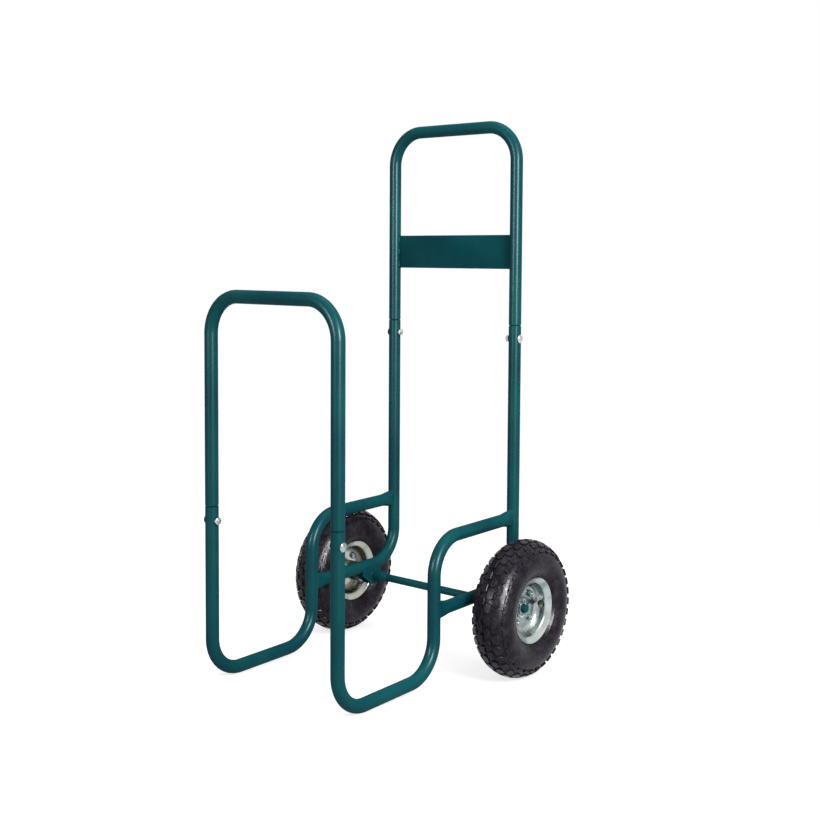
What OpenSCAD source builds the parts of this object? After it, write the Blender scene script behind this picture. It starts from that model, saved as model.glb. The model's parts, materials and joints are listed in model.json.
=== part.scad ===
// Fireside log cart: two bent side frames, a plug-in front hoop and handle hoop,
// a welded cross plate, and two pneumatic wheels on one through axle.
// The frame is drawn square, in millimetres: X runs across the cart, Y runs back from
// the front legs and Z runs up from the underside of the bottom runs.
// stance() then leans it forward until the front bends and both tyres touch the ground.

/* [Frame tube] */
// Outer diameter of all the frame tubes
tube_d = 25.4; // [22:0.2:30]
// Wall of the frame tubes
tube_wall = 1.5; // [1.2:0.1:2.5]
// Radius of every bend, to the middle of the tube
bend_r = 70; // [55:1:80]
// Distance between the two side frames, middle to middle
frame_w = 318; // [260:1:400]

/* [Side frames] */
// Front leg to the upright behind the log well, middle to middle
base_len = 272; // [240:1:340]
// Height of the shoulder run, to its middle
shoulder_h = 269; // [240:1:330]
// Front leg to the rear post, middle to middle
post_back = 538; // [500:1:640]
// Height of the low run that carries the axle, to its middle
low_run_h = 133; // [124:1:140]

/* [Hoops] */
// Height of the front hoop's top bar, to its middle
hoop_h = 731; // [560:1:900]
// Height of the handle's grip bar, to its middle
handle_h = 1072; // [980:1:1200]
// Height of the seam between a front leg and its hoop
front_seam_h = 336; // [300:1:400]
// Height of the seam between a rear post and the handle
rear_seam_h = 665; // [500:1:720]
// Length of the narrowed end that plugs into the tube below
plug_len = 55; // [40:1:80]
// Height of the cone where a hoop's tube narrows
neck_h = 3; // [2:0.5:6]
// Clearance of a plug in its tube, on radius
plug_gap = 0.15; // [0.1:0.05:0.4]

/* [Flattened tube ends] */
// Length over which a welded tube end is pressed flat
flat_len = 44; // [30:1:55]
// Height of the pressed end
flat_h = 33; // [29:1:36]
// Thickness of the pressed end
flat_t = 14; // [12:1:18]

/* [Cross plate] */
// Height of the plate's lower edge
plate_low_h = 781; // [740:1:820]
// Height of the plate itself
plate_h = 70; // [40:1:120]
// Thickness of the plate
plate_t = 2.5; // [1.5:0.5:5]

/* [Axle] */
// Diameter of the axle
axle_d = 16; // [14:0.5:18]
// Front leg to the axle, middle to middle
axle_back = 459; // [436:1:464]
// Gap between the axle and the low runs above it
axle_drop_gap = 0.5; // [0.3:0.1:8]
// Clearance of the pieces that slide on the axle, on radius
axle_gap = 0.05; // [0.02:0.01:0.1]
// Outer width of the bracket that carries the axle
bracket_w = 24; // [20:1:25]
// Thickness of the bracket's plate
bracket_t = 3; // [2:0.5:4]
// Reach of the bracket ahead of the axle
bracket_fore = 40; // [30:1:60]
// Reach of the bracket behind the axle
bracket_aft = 20; // [16:1:26]
// Depth of the bracket below the axle's middle
bracket_drop = 18; // [15:1:24]
// Outer diameter of the collars and spacers on the axle
collar_d = 22; // [20:1:26]
// Length of the inner collar, up to its taper
collar_len = 22; // [10:1:40]
// Length of the inner collar's taper
collar_taper = 15; // [5:1:25]

/* [Wheels] */
// Diameter of the tyre over its tread
tyre_d = 272; // [256:1:284]
// Width of the tyre
tyre_w = 84; // [82:1:90]
// Side frame to the middle of the wheel
wheel_out = 76; // [72:1:100]
// Diameter over the rim's flanges
flange_d = 132; // [128:1:136]
// Width over the rim's flanges
flange_w = 60; // [56:1:62]
// Diameter of the rim's bead seat
seat_d = 107; // [102:1:110]
// Thickness of the rim's sheet
rim_t = 1.8; // [1.2:0.1:2]
// Depth of the tread
tread_depth = 4; // [3:0.5:5]
// Number of tread blocks around each row
tread_count = 34; // [28:1:40]
// Gap between tread blocks
tread_gap = 4; // [2:0.5:6]

/* [Hub and bearings] */
// Length of the hub tube
hub_len = 57; // [50:1:60]
// Reach of the hub beyond the middle of the wheel
hub_out = 3; // [2:0.5:6]
// Outer diameter of the hub tube
hub_d = 40; // [38:0.5:44]
// Outer diameter of the ball bearings
bearing_d = 35; // [32:0.5:35]
// Width of a ball bearing
bearing_w = 11; // [9:0.5:12]
// Diameter of the balls
ball_d = 6; // [5:0.25:6]
// Number of balls in a bearing
ball_count = 8; // [6:1:9]

/* [Fasteners] */
// Diameter of the bolts at the tube joints
joint_bolt_d = 8; // [6:0.5:8]
// Diameter of the joint bolts' domed heads
joint_head_d = 17; // [14:0.5:20]
// Height of the joint bolts' domed heads
joint_head_h = 4.5; // [3:0.5:6]
// Distance from a seam down to its bolt
joint_drop = 26; // [20:1:30]
// Diameter of the bolts that clamp the rim halves
rim_bolt_d = 8; // [6:0.5:8]
// Diameter of the circle of the rim bolts
rim_bolt_pcd = 68; // [60:1:72]
// Number of rim bolts
rim_bolt_count = 4; // [3:1:6]
// Diameter of the split pins
pin_d = 3.2; // [2.5:0.1:4]

/* [Hidden] */
$fn = 64;

// Colours
enamel = [0.03, 0.27, 0.27];
zinc = [0.78, 0.80, 0.78];
zinc_yellow = [0.74, 0.72, 0.58];
steel = [0.55, 0.56, 0.58];
black_rubber = [0.09, 0.08, 0.09];

// Frame
side_x = frame_w / 2;
tube_r = tube_d / 2;
plug_d = tube_d - 2 * tube_wall - 2 * plug_gap;
base_h = tube_r;
axle_h = low_run_h - tube_r - axle_drop_gap - axle_d / 2;
through = 1;

// Joint fasteners
joint_hole_gap = 0.6;
joint_hole_d = joint_bolt_d + joint_hole_gap;
joint_nut_af = 1.6 * joint_bolt_d;
joint_nut_h = 0.8 * joint_bolt_d;
joint_end = 2;

// Wheel, measured outboard from its middle plane
wheel_r = tyre_d / 2;
wheel_x = side_x + wheel_out;
flange_r = flange_d / 2;
flange_s = flange_w / 2;
seat_r = seat_d / 2;
seat_gap = 0.3;
lip_gap = 1;
sheet_r = rim_t / 2;
barrel_r = seat_r - sheet_r;

// Rim profile: how far its corners lie back from the flange's edge, or from the barrel
seat_back = 8.5;
slope_back = 6.5;
slope_rise = 3;
corner_drop = 7;
corner_rise = 8;
barrel_draft = 2;
rim_hole_gap = 0.4;

// Axle stack, measured outboard from the wheel's middle plane
ring_proud = 0.5;
washer_t = 2;
washer_gap = 0.3;
inner_washer_d = 28;
outer_washer_d = 30;
hub_in = hub_out - hub_len;
outer_face = hub_out + ring_proud;
inner_face = hub_in - ring_proud;
pin_s = outer_face + washer_t + washer_gap + pin_d / 2;
pin_margin = 3;
axle_end = wheel_x + pin_s + pin_d / 2 + pin_margin;
axle_bevel = 1;
pin_hole_gap = 0.4;

// Bearing rings
ring_wall = 2.5;
track_gap = 0.1;
bearing_r = bearing_d / 2;
track_r = (bearing_r + axle_d / 2) / 2;
outer_ring_r = bearing_r - ring_wall;
inner_ring_r = axle_d / 2 + axle_gap + ring_wall;
shield_t = 0.6;
hub_step = 1;

// The frame leans until one level line touches the front bends and the tyres
bend_z = base_h + bend_r;
bend_out = bend_r + tube_r;
lean = asin((wheel_r - bend_out) / norm([axle_h - bend_z, axle_back - bend_r]))
    - atan((axle_h - bend_z) / (axle_back - bend_r));
ground = bend_z * cos(lean) + bend_r * sin(lean) - bend_out;
front_reach = -hoop_h * sin(lean) - tube_r;
rear_reach = axle_back * cos(lean) - axle_h * sin(lean) + wheel_r;
middle_y = (front_reach + rear_reach) / 2;

// Puts the square frame on the ground, with the origin under the middle of the cart
module stance() translate([0, -middle_y, -ground]) rotate([lean, 0, 0]) children();

// Sides: -1 is left and 1 is right, as seen from behind the handle
left = -1;
right = 1;

// Plane of a side frame: its own X runs back along the cart and its Y runs up
module side_plane(side) translate([side * side_x, 0, 0]) rotate([90, 0, 90]) children();

// Plane across the cart: its own X runs across and its Y runs up
module cross_plane(y) translate([0, y, 0]) rotate([90, 0, 0]) children();

// A wheel's own space: its Z runs outboard along the axle from the wheel's middle plane
module wheel_place(side)
    translate([side * wheel_x, axle_back, axle_h]) rotate([0, side * 90, 0]) children();

// ---- Bent tube ----

function heading(a, b) = (b - a) / norm(b - a);
function turn(a, b, c) = atan2(cross(heading(a, b), heading(b, c)), heading(a, b) * heading(b, c));
function setback(a, b, c) = bend_r * tan(abs(turn(a, b, c)) / 2);

// Straight stretch of the section in children(), from a to b in the XY plane
module straight(a, b)
    translate([a.x, a.y, 0]) rotate([0, 0, atan2(b.y - a.y, b.x - a.x)]) rotate([0, 90, 0])
        linear_extrude(norm(b - a)) children();

// One bend of that section, at corner b of the corners a, b, c
module bend(a, b, c) {
    start = b - setback(a, b, c) * heading(a, b);
    swing = turn(a, b, c);
    across = sign(swing) * bend_r * [-heading(a, b).y, heading(a, b).x];
    translate([start.x + across.x, start.y + across.y, 0])
        rotate([0, 0, atan2(-across.y, -across.x)])
            rotate_extrude(angle = swing) translate([bend_r, 0]) children();
}

// The section in children() along a path of corners in the XY plane
module bent(path) {
    last = len(path) - 1;
    for (i = [0 : last - 1]) {
        run = heading(path[i], path[i + 1]);
        cut_a = i == 0 ? 0 : setback(path[i - 1], path[i], path[i + 1]);
        cut_b = i == last - 1 ? 0 : setback(path[i], path[i + 1], path[i + 2]);
        straight(path[i] + cut_a * run, path[i + 1] - cut_b * run) children();
    }
    for (i = [1 : last - 1]) bend(path[i - 1], path[i], path[i + 1]) children();
}

module tube_section() difference() {
    circle(d = tube_d);
    circle(d = tube_d - 2 * tube_wall);
}

// Tube end pressed from round to an oval, along Z and tall along Y
slice = 0.01;
module pressed_shape(shrink, len) hull() {
    cylinder(d = tube_d - shrink, h = slice, $fn = 32);
    for (end = [-1, 1])
        translate([0, end * (flat_h - flat_t) / 2, len]) cylinder(d = flat_t - shrink, h = slice, $fn = 32);
}

// The pressed end, from point a back to the mating tube whose middle is at point b
module pressed_end(a, b) difference() {
    translate([a.x, a.y, 0]) rotate([0, 0, b.x > a.x ? 0 : 180]) rotate([0, 90, 0]) difference() {
        pressed_shape(0, norm(b - a));
        translate([0, 0, -slice / 2]) pressed_shape(2 * tube_wall, norm(b - a) + 2 * slice);
    }
    translate([b.x, b.y, 0]) rotate([90, 0, 0]) cylinder(d = tube_d, h = 3 * flat_h, center = true);
}

// ---- Side frames ----

side_path = [
    [0, front_seam_h], [0, base_h], [base_len, base_h],
    [base_len, shoulder_h], [post_back - flat_len, shoulder_h]
];
post_path = [[post_back, rear_seam_h], [post_back, low_run_h], [base_len + flat_len, low_run_h]];

module joint_hole(y, seam_h, side) translate([side * side_x, y, seam_h - joint_drop])
    rotate([0, 90, 0]) cylinder(d = joint_hole_d, h = 2 * tube_d, center = true);

module side_tube(side) color(enamel) stance() difference() {
    side_plane(side) {
        bent(side_path) tube_section();
        pressed_end([post_back - flat_len, shoulder_h], [post_back, shoulder_h]);
    }
    joint_hole(0, front_seam_h, side);
}

module rear_post(side) color(enamel) stance() difference() {
    side_plane(side) {
        bent(post_path) tube_section();
        pressed_end([base_len + flat_len, low_run_h], [base_len, low_run_h]);
    }
    joint_hole(post_back, rear_seam_h, side);
}

// ---- Hoops ----

// Narrowed end below a hoop's leg: cone and plug, with the tube's wall all the way
module plug() rotate_extrude() polygon([
    [tube_r, neck_h], [plug_d / 2, 0], [plug_d / 2, -plug_len], [plug_d / 2 - tube_wall, -plug_len],
    [plug_d / 2 - tube_wall, 0], [tube_r - tube_wall, neck_h]
]);

module hoop(y, seam_h, top_h) color(enamel) stance() difference() {
    union() {
        cross_plane(y) bent([
            [-side_x, seam_h + neck_h], [-side_x, top_h], [side_x, top_h], [side_x, seam_h + neck_h]
        ]) tube_section();
        for (side = [left, right]) translate([side * side_x, y, seam_h]) plug();
    }
    for (side = [left, right]) joint_hole(y, seam_h, side);
}

module front_hoop() hoop(0, front_seam_h, hoop_h);
module handle_hoop() hoop(post_back, rear_seam_h, handle_h);

// Flat plate whose ends seat against the handle's legs
module handle_plate() color(enamel) stance() difference() {
    translate([-side_x, post_back - plate_t / 2, plate_low_h]) cube([frame_w, plate_t, plate_h]);
    for (side = [left, right])
        translate([side * side_x, post_back, plate_low_h - through])
            cylinder(d = tube_d, h = plate_h + 2 * through);
}

// ---- Joint bolts: domed heads outboard, nuts inboard ----

// A spherical cap that stands up from Z = 0
module dome(d, h) {
    sphere_r = (d * d / 4 + h * h) / (2 * h);
    rotate_extrude() intersection() {
        translate([0, h - sphere_r]) circle(r = sphere_r, $fn = 128);
        square([d / 2, h]);
    }
}

module hex_nut(af, h, bore_d) difference() {
    cylinder(d = af / cos(30), h = h, $fn = 6);
    translate([0, 0, -through]) cylinder(d = bore_d, h = h + 2 * through);
}

module joint_place(y, seam_h) for (side = [left, right])
    translate([side * side_x, y, seam_h - joint_drop]) rotate([0, side * 90, 0]) children();

module joint_bolts(y, seam_h) color(zinc) stance() joint_place(y, seam_h) {
    shank = tube_d + joint_nut_h + joint_end;
    translate([0, 0, tube_r - shank]) cylinder(d = joint_bolt_d, h = shank);
    translate([0, 0, tube_r]) dome(joint_head_d, joint_head_h);
}

module joint_nuts(y, seam_h) color(zinc) stance() joint_place(y, seam_h)
    translate([0, 0, -tube_r - joint_nut_h]) hex_nut(joint_nut_af, joint_nut_h, joint_bolt_d);

// ---- Axle ----

module axle_bar() color(enamel) stance() translate([0, axle_back, axle_h]) difference() {
    rotate([0, 90, 0]) {
        cylinder(d = axle_d, h = 2 * (axle_end - axle_bevel), center = true);
        for (end = [0, 180]) rotate([end, 0, 0]) translate([0, 0, axle_end - axle_bevel])
            cylinder(d1 = axle_d, d2 = axle_d - 2 * axle_bevel, h = axle_bevel);
    }
    for (side = [left, right]) translate([side * (wheel_x + pin_s), 0, 0])
        cylinder(d = pin_d + pin_hole_gap, h = 2 * axle_d, center = true);
}

// Folded plate under the low run: two cheeks and the web that joins them below the axle
module axle_bracket(side) color(enamel) stance() difference() {
    side_plane(side) translate([axle_back, axle_h, 0]) {
        rise = low_run_h - axle_h;
        for (cheek = [-bracket_w / 2, bracket_w / 2 - bracket_t]) translate([0, 0, cheek])
            linear_extrude(bracket_t) difference() {
                polygon([
                    [-bracket_fore, rise], [bracket_aft, rise], [bracket_aft, -bracket_drop],
                    [-bracket_aft / 2, -bracket_drop], [-bracket_fore, rise - tube_r - bracket_t]
                ]);
                circle(d = axle_d + 2 * axle_gap);
            }
        translate([-bracket_aft / 2, -bracket_drop, -bracket_w / 2])
            cube([1.5 * bracket_aft, bracket_t, bracket_w]);
    }
    side_plane(side) bent(post_path) circle(d = tube_d);
}

module on_axle(side) translate([side * side_x, axle_back, axle_h]) rotate([0, side * 90, 0]) children();

// Tapered collar welded to the bracket's inner cheek
module axle_collar(side) color(enamel) stance() on_axle(side) rotate([180, 0, 0])
    translate([0, 0, bracket_w / 2]) difference() {
        union() {
            cylinder(d = collar_d, h = collar_len);
            translate([0, 0, collar_len])
                cylinder(d1 = collar_d, d2 = axle_d + 1, h = collar_taper);
        }
        translate([0, 0, -through])
            cylinder(d = axle_d + 2 * axle_gap, h = collar_len + collar_taper + 2 * through);
    }

module tube_piece(d, bore_d, h) difference() {
    cylinder(d = d, h = h);
    translate([0, 0, -through]) cylinder(d = bore_d, h = h + 2 * through);
}

// Spacer that keeps the wheel off the bracket
module axle_spacer(side) color(enamel) stance() on_axle(side) translate([0, 0, bracket_w / 2])
    tube_piece(collar_d, axle_d + 2 * axle_gap,
        wheel_out + inner_face - washer_t - bracket_w / 2);

module inner_washer(side) color(zinc) stance() wheel_place(side)
    translate([0, 0, inner_face - washer_t])
        tube_piece(inner_washer_d, axle_d + 2 * axle_gap, washer_t);

module outer_washer(side) color(zinc) stance() wheel_place(side)
    translate([0, 0, outer_face]) tube_piece(outer_washer_d, axle_d + 2 * axle_gap, washer_t);

// Split pin through the axle: shank, eye at the top and two splayed legs at the bottom
module split_pin(side) color(zinc) stance() translate([side * (wheel_x + pin_s), axle_back, axle_h]) {
    reach = axle_d / 2 + 1;
    eye_r = 1.2 * pin_d;
    leg_d = 0.7 * pin_d;
    leg_len = 2.5 * pin_d;
    splay = 50;
    translate([0, 0, -reach]) cylinder(d = pin_d, h = 2 * reach);
    translate([0, 0, reach + eye_r]) rotate([0, 90, 0])
        rotate_extrude() translate([eye_r, 0]) circle(d = leg_d);
    translate([0, 0, -reach]) sphere(d = pin_d);
    for (way = [-1, 1]) translate([0, 0, -reach]) rotate([180 + way * splay, 0, 0])
        cylinder(d = leg_d, h = leg_len);
}

// ---- Bearings ----

module at_bearings() {
    translate([0, 0, hub_out]) rotate([180, 0, 0]) children();
    translate([0, 0, hub_in]) children();
}

// Inner ring on the axle, standing proud of the hub by ring_proud, with its ball track
module bearing_inners(side) color(steel) stance() wheel_place(side) at_bearings()
    rotate_extrude() difference() {
        translate([axle_d / 2 + axle_gap, -ring_proud]) square([ring_wall, bearing_w + ring_proud]);
        translate([track_r, bearing_w / 2]) circle(d = ball_d + 2 * track_gap);
    }

// Outer ring in the hub, with the thin shield that closes the bearing's outer side
module bearing_outers(side) color(steel) stance() wheel_place(side) at_bearings()
    rotate_extrude() {
        difference() {
            translate([outer_ring_r, 0]) square([ring_wall, bearing_w]);
            translate([track_r, bearing_w / 2]) circle(d = ball_d + 2 * track_gap);
        }
        translate([inner_ring_r + track_gap, 0])
            square([outer_ring_r - inner_ring_r - track_gap, shield_t]);
    }

module bearing_balls(side) color(steel) stance() wheel_place(side) at_bearings()
    for (i = [0 : ball_count - 1]) rotate([0, 0, i * 360 / ball_count])
        translate([track_r, 0, bearing_w / 2]) sphere(d = ball_d, $fn = 48);

// ---- Rim and hub ----

// A strip of sheet metal along a path, with mitred corners
function normal(a, b) = [-heading(a, b).y, heading(a, b).x];
function mitre(path, i) =
    let (before = normal(path[max(i, 1) - 1], path[max(i, 1)]),
        ahead = normal(path[min(i, len(path) - 2)], path[min(i, len(path) - 2) + 1]))
    (before + ahead) / (1 + before * ahead);
module sheet(path, t) {
    last = len(path) - 1;
    polygon([
        for (i = [0 : last]) path[i] + t / 2 * mitre(path, i),
        for (i = [last : -1 : 0]) path[i] - t / 2 * mitre(path, i)
    ]);
}

// Half of the rim, from the hub out: flat disc, barrel, bead seat and flange
rim_path = [
    [hub_d / 2, sheet_r],
    [barrel_r - barrel_draft - corner_drop, sheet_r],
    [barrel_r - barrel_draft, sheet_r + corner_rise],
    [barrel_r, flange_s - seat_back],
    [barrel_r + slope_rise, flange_s - slope_back],
    [flange_r - sheet_r, flange_s - sheet_r]
];

module rim_bolt_holes() for (i = [0 : rim_bolt_count - 1])
    rotate([0, 0, 45 + i * 360 / rim_bolt_count]) translate([rim_bolt_pcd / 2, 0, -flange_s])
        cylinder(d = rim_bolt_d + rim_hole_gap, h = flange_w);

module rim_half() difference() {
    rotate_extrude($fn = 96) sheet(rim_path, rim_t);
    rim_bolt_holes();
}

// The valve passes through the outer half's barrel, on the side that faces the rear
valve_hole_d = 14;
valve_s = 12;
valve_tilt = 60;
module valve_place() rotate([0, 0, 90]) translate([barrel_r - rim_t / 2, 0, valve_s])
    rotate([0, -valve_tilt, 0]) children();

module rim_outer(side) color(zinc) stance() wheel_place(side) difference() {
    rim_half();
    valve_place() cylinder(d = valve_hole_d, h = stem_len, center = true);
}

module rim_inner(side) color(zinc_yellow) stance() wheel_place(side) mirror([0, 0, 1]) rim_half();

module hub_tube(side) color(zinc) stance() wheel_place(side) translate([0, 0, hub_in])
    rotate_extrude() polygon([
        [bearing_r, 0], [hub_d / 2, 0], [hub_d / 2, hub_len], [bearing_r, hub_len],
        [bearing_r, hub_len - bearing_w], [bearing_r - hub_step, hub_len - bearing_w],
        [bearing_r - hub_step, bearing_w], [bearing_r, bearing_w]
    ]);

module rim_bolt_ring() for (i = [0 : rim_bolt_count - 1])
    rotate([0, 0, 45 + i * 360 / rim_bolt_count]) translate([rim_bolt_pcd / 2, 0, 0]) children();

rim_head_h = 0.65 * rim_bolt_d;
rim_nut_h = 0.8 * rim_bolt_d;
rim_bolt_end = 2;

module rim_bolts(side) color(zinc) stance() wheel_place(side) rim_bolt_ring() {
    translate([0, 0, -rim_t - rim_head_h])
        cylinder(d = 1.6 * rim_bolt_d / cos(30), h = rim_head_h, $fn = 6);
    translate([0, 0, -rim_t]) cylinder(d = rim_bolt_d, h = 2 * rim_t + rim_nut_h + rim_bolt_end);
}

module rim_nuts(side) color(zinc) stance() wheel_place(side) rim_bolt_ring()
    translate([0, 0, rim_t]) hex_nut(1.6 * rim_bolt_d, rim_nut_h, rim_bolt_d);

// Rubber stem that widens to a foot against the inner tube, and its screwed cap
stem_len = 16;
stem_r = 3.9;
foot_r = 5.5;
foot_deep = 10;
foot_thick = 3;
boot_len = 6;
cap_len = 7;
cap_r = 4.4;
cap_bevel = 0.8;
module valve_stem(side) color(black_rubber) stance() wheel_place(side) valve_place()
    rotate_extrude() polygon([
        [0, -foot_deep], [foot_r, -foot_deep], [foot_r, foot_thick - foot_deep],
        [1.2 * stem_r, boot_len], [stem_r, boot_len + 1], [stem_r, stem_len], [0, stem_len]
    ]);

module valve_cap(side) color(black_rubber) stance() wheel_place(side) valve_place()
    translate([0, 0, stem_len]) rotate_extrude() polygon([
        [0, 0], [cap_r, 0], [cap_r, cap_len - cap_bevel], [cap_r - cap_bevel, cap_len], [0, cap_len]
    ]);

// ---- Tyre and inner tube ----

section_r = tyre_w / 2;
section_mid = wheel_r - section_r;
crown_r = section_r - 1.5 * tread_depth;
side_wall = 5;
tube_gap = 0.5;
tube_skin = 2;
bead_w = 9;
bead_h = 11;
bead_in = flange_s - seat_back - bead_w / 2;

// Two circles side by side and what lies between them, as wide as the tyre less its walls
module tyre_section(wall) {
    r = crown_r - wall;
    apart = section_r - crown_r;
    for (way = [-1, 1]) translate([section_mid, way * apart]) circle(r = r);
    translate([section_mid - r, -apart]) square([2 * r, 2 * apart]);
}

// What the rim takes out of the tyre, with clearance
module rim_room() {
    seat = seat_r + seat_gap;
    lip = flange_r + lip_gap;
    seat_s = flange_s - seat_back - lip_gap;
    lip_s = flange_s - 2 * lip_gap;
    polygon([
        [0, -tyre_w], [lip, -tyre_w], [lip, -lip_s], [seat, -seat_s],
        [seat, seat_s], [lip, lip_s], [lip, tyre_w], [0, tyre_w]
    ]);
}

// The beads sit on the rim's seats, and the tyre is open between them
module carcass() rotate_extrude($fn = 96) difference() {
    union() {
        difference() {
            tyre_section(0);
            tyre_section(side_wall);
        }
        for (way = [0, 1]) mirror([0, way]) translate([seat_r, bead_in]) square([bead_h, bead_w]);
    }
    rim_room();
    translate([0, -bead_in]) square([section_mid, 2 * bead_in]);
}

// Radius of the carcass below the tread, at distance s from the tyre's middle
function crown_at(s) =
    section_mid + sqrt(pow(crown_r, 2) - pow(max(0, abs(s) - section_r + crown_r), 2));

// One row of tread blocks on a band of its own, from s = low
module tread_row(low, w, r, floor_r, phase) translate([0, 0, low])
    rotate([0, 0, phase * 360 / tread_count]) linear_extrude(w) difference() {
        circle(r = r, $fn = 96);
        circle(r = floor_r - side_wall, $fn = 96);
        for (i = [0 : tread_count - 1]) rotate(i * 360 / tread_count)
            translate([floor_r, -tread_gap / 2]) square([section_r, tread_gap]);
    }

// Wide middle row, and on each side a staggered row and a narrow shoulder row
middle_w = 19;
side_low = 12;
side_w = 8;
shoulder_low = 23;
shoulder_w = 4.5;
floor_rise = 0.2 * tread_depth;
module tread() {
    tread_row(-middle_w / 2, middle_w, wheel_r, wheel_r - 0.8 * tread_depth, 0);
    for (way = [0, 1]) mirror([0, 0, way]) {
        tread_row(side_low, side_w, crown_at(side_low) + tread_depth, crown_at(side_low) + floor_rise, 0.5);
        tread_row(shoulder_low, shoulder_w, crown_at(shoulder_low) + 0.7 * tread_depth,
            crown_at(shoulder_low) + floor_rise, 0);
    }
}

module tyre(side) color(black_rubber) stance() wheel_place(side) {
    carcass();
    tread();
}

module inner_tube(side) color(black_rubber) stance() wheel_place(side)
    rotate_extrude($fn = 96) difference() {
        tyre_section(side_wall + tube_gap);
        tyre_section(side_wall + tube_gap + tube_skin);
    }

front_hoop();
handle_hoop();
handle_plate();
side_tube(left);  // side_tube_left
side_tube(right);  // side_tube_right
rear_post(left);  // rear_post_left
rear_post(right);  // rear_post_right
joint_bolts(0, front_seam_h);  // front_joint_bolts
joint_nuts(0, front_seam_h);  // front_joint_nuts
joint_bolts(post_back, rear_seam_h);  // rear_joint_bolts
joint_nuts(post_back, rear_seam_h);  // rear_joint_nuts
axle_bar();
axle_bracket(left);  // axle_bracket_left
axle_bracket(right);  // axle_bracket_right
axle_collar(left);  // axle_collar_left
axle_collar(right);  // axle_collar_right
axle_spacer(left);  // axle_spacer_left
axle_spacer(right);  // axle_spacer_right
inner_washer(left);  // inner_washer_left
inner_washer(right);  // inner_washer_right
outer_washer(left);  // outer_washer_left
outer_washer(right);  // outer_washer_right
split_pin(left);  // split_pin_left
split_pin(right);  // split_pin_right
bearing_inners(left);  // bearing_inners_left
bearing_inners(right);  // bearing_inners_right
tyre(left);  // tyre_left
tyre(right);  // tyre_right
inner_tube(left);  // inner_tube_left
inner_tube(right);  // inner_tube_right
rim_outer(left);  // rim_outer_left
rim_outer(right);  // rim_outer_right
rim_inner(left);  // rim_inner_left
rim_inner(right);  // rim_inner_right
hub_tube(left);  // hub_tube_left
hub_tube(right);  // hub_tube_right
bearing_outers(left);  // bearing_outers_left
bearing_outers(right);  // bearing_outers_right
bearing_balls(left);  // bearing_balls_left
bearing_balls(right);  // bearing_balls_right
rim_bolts(left);  // rim_bolts_left
rim_bolts(right);  // rim_bolts_right
rim_nuts(left);  // rim_nuts_left
rim_nuts(right);  // rim_nuts_right
valve_stem(left);  // valve_stem_left
valve_stem(right);  // valve_stem_right
valve_cap(left);  // valve_cap_left
valve_cap(right);  // valve_cap_right
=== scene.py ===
import json
from math import acos, asin, atan2, copysign, cos, hypot, pi, radians, sin, sqrt

import bmesh
import bpy
from mathutils import Matrix, Vector, noise

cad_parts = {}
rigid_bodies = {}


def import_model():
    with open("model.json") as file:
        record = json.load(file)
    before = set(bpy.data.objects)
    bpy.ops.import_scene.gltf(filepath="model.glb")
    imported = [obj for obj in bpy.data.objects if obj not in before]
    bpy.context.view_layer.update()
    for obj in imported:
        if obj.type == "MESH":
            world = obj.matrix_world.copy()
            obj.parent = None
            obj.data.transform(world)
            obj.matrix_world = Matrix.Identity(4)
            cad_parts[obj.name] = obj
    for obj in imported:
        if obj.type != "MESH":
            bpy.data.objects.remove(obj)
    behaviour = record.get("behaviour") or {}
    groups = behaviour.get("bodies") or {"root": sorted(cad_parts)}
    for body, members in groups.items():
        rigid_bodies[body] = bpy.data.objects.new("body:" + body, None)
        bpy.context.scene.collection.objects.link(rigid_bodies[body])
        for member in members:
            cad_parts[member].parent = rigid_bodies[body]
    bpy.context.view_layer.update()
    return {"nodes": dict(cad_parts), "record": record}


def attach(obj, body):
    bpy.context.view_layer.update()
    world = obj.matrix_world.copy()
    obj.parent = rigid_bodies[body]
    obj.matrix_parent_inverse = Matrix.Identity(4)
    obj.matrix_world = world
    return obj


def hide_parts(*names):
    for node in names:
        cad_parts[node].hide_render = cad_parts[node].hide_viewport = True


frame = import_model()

MM = 0.001

# ---------------------------------------------------------------- sizes, in metres
LEFT, RIGHT = -1, 1
SIDES = {LEFT: "left", RIGHT: "right"}
TINY = 1e-6

# Tube frame: heights are above the underside of the bottom runs, distances back from the front posts
TUBE_D = 25.4 * MM
TUBE_R = TUBE_D / 2
TUBE_WALL = 1.5 * MM
BORE_R = TUBE_R - TUBE_WALL
BEND_R = 70 * MM
SIDE_X = 159 * MM
BASE_LEN = 272 * MM
SHOULDER_H = 269 * MM
POST_BACK = 538 * MM
LOW_RUN_H = 133 * MM
HOOP_H = 731 * MM
HANDLE_H = 1072 * MM
FRONT_SEAM_H = 336 * MM
REAR_SEAM_H = 665 * MM
EDGE = 0.35 * MM
BORE_EDGE = 0.2 * MM
BORE_DEPTH = 15 * MM

# Narrowed ends of the hoops, as distance past the neck's start and radius. The lead is a bit of
# straight tube before the neck, which keeps the long leg's shading level.
PLUG_R = BORE_R - 0.15 * MM
PLUG_LEN = 16 * MM
NECK_H = 3 * MM
NECK_LEAD = 1.0 * MM
NECK = ((0, TUBE_R), (0.4 * MM, TUBE_R - 0.1 * MM), (0.9 * MM, TUBE_R - 0.5 * MM),
        (2.2 * MM, PLUG_R + 0.2 * MM), (NECK_H, PLUG_R), (PLUG_LEN, PLUG_R))

# Flattened ends: the paces say how soon they are flat along their length, and how soon their broad
# sides are straight round the section
FLAT_LEN = 44 * MM
FLAT_H = 33 * MM
FLAT_T = 14 * MM
FLAT_PACE = 1.15
SIDE_PACE = 2.2
COPE_DEPTH = 0.2 * MM
PRESS_STEPS = 14

# Cross plate
PLATE_LOW_H = 781 * MM
PLATE_H = 70 * MM
PLATE_T = 2.5 * MM
PLATE_OVERLAP = 0.8 * MM
PLATE_EDGE = 0.7 * MM

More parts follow.
